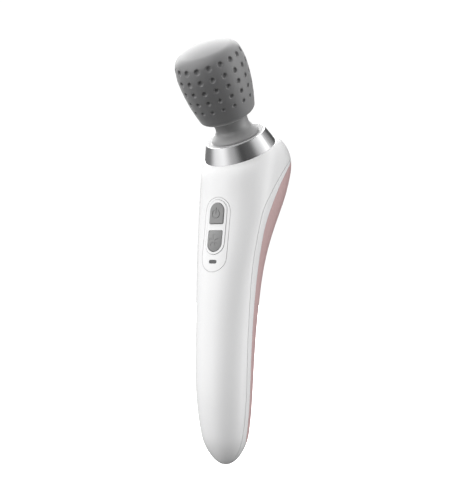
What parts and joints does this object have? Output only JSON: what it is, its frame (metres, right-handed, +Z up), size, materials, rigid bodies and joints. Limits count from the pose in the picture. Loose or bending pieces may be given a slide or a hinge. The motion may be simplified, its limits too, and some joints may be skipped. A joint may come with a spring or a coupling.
{
  "type": "handheld wand massager",
  "caption": "Cordless wand massager: bent rounded handle with a button panel, bright cone collar, flexible neck and a dimpled round head driven by a spinning weight.",
  "frame": {"origin": "middle of the charging port's mouth, at the bottom tip of the handle", "axes": "+Z up along the handle to the head, -Y to the front with the buttons, +X to the side (the handle is the same left and right)"},
  "size_m": [0.0594, 0.1079, 0.309],
  "materials": {
    "soft_grey": "satin silicone",
    "white_shell": "satin to gloss, moulded",
    "rose_shell": "satin, moulded",
    "bright_ring": "satin",
    "dark_window": "polished",
    "hidden_plastic": "moulded",
    "steel": "ground or drawn",
    "magnet": "sintered",
    "board": "solder resist",
    "cell_sleeve": "shrink sleeve",
    "pin_brass": "nickel flashed"
  },
  "bodies": {
    "handle": {"front_housing": "white_shell", "rear_housing": "white_shell", "rear_cover": "rose_shell", "control_panel": "white_shell", "button_bezel": "white_shell", "led_window": "dark_window", "collar_base": "white_shell", "collar_ring": "bright_ring", "neck_clamp": "hidden_plastic", "neck_boot": "soft_grey", "motor_mount": "hidden_plastic", "motor_screws": "steel", "collar_screws": "steel", "motor_can": "steel", "motor_magnets": "magnet", "motor_end_cap": "hidden_plastic", "motor_terminals": "pin_brass", "main_board": "board", "board_screws": "steel", "board_chips": "hidden_plastic", "tact_switches": "hidden_plastic", "status_led": "dark_window", "battery_lower": "cell_sleeve", "battery_upper": "cell_sleeve", "battery_link": "steel", "charge_socket": "hidden_plastic", "socket_pin": "pin_brass", "port_bezel": "hidden_plastic", "housing_screws": "steel"},
    "neck": {"neck_spring": "steel"},
    "head": {"head_cover": "soft_grey", "head_core_lower": "hidden_plastic", "head_core_upper": "hidden_plastic", "head_screws": "steel", "head_bearing_lower": "steel", "head_bearing_upper": "steel"},
    "eccentric": {"eccentric_shaft": "steel", "eccentric_weight": "steel"},
    "rotor": {"motor_rotor": "steel", "drive_coupling": "soft_grey"},
    "power_key": {"power_button": "soft_grey"},
    "mode_key": {"mode_button": "soft_grey"}
  },
  "joints": [
    {"name": "neck_pitch", "type": "hinge", "parent": "handle", "child": "neck", "pos_m": [0, 0.00833, 0.24624], "axis": [1, 0, 0], "range_deg": [-20, 20], "stiffness_Nm_per_rad": 1.6, "deforming": ["neck_boot", "drive_coupling", "neck_spring"]},
    {"name": "neck_side", "type": "hinge", "parent": "neck", "child": "head", "pos_m": [0, 0.00833, 0.24624], "axis": [0, 0.8721, 0.4894], "range_deg": [-20, 20], "stiffness_Nm_per_rad": 1.6, "deforming": ["neck_boot", "drive_coupling", "neck_spring"]},
    {"name": "eccentric_spin", "type": "hinge", "parent": "head", "child": "eccentric", "pos_m": [0, -0.01171, 0.27675], "axis": [0, -0.549, 0.8358], "continuous": true},
    {"name": "rotor_spin", "type": "hinge", "parent": "handle", "child": "rotor", "pos_m": [0, 0.02864, 0.21005], "axis": [0, -0.4894, 0.8721], "continuous": true},
    {"name": "power_press", "type": "slide", "parent": "handle", "child": "power_key", "axis": [0, 0.9903, -0.1392], "range_m": [0, 0.0005], "stiffness_N_per_m": 1200},
    {"name": "mode_press", "type": "slide", "parent": "handle", "child": "mode_key", "axis": [0, 0.9903, -0.1392], "range_m": [0, 0.0005], "stiffness_N_per_m": 1200}
  ],
  "couplings": [
    {"joint": "eccentric_spin", "follows": "rotor_spin", "ratio": 1}
  ]
}
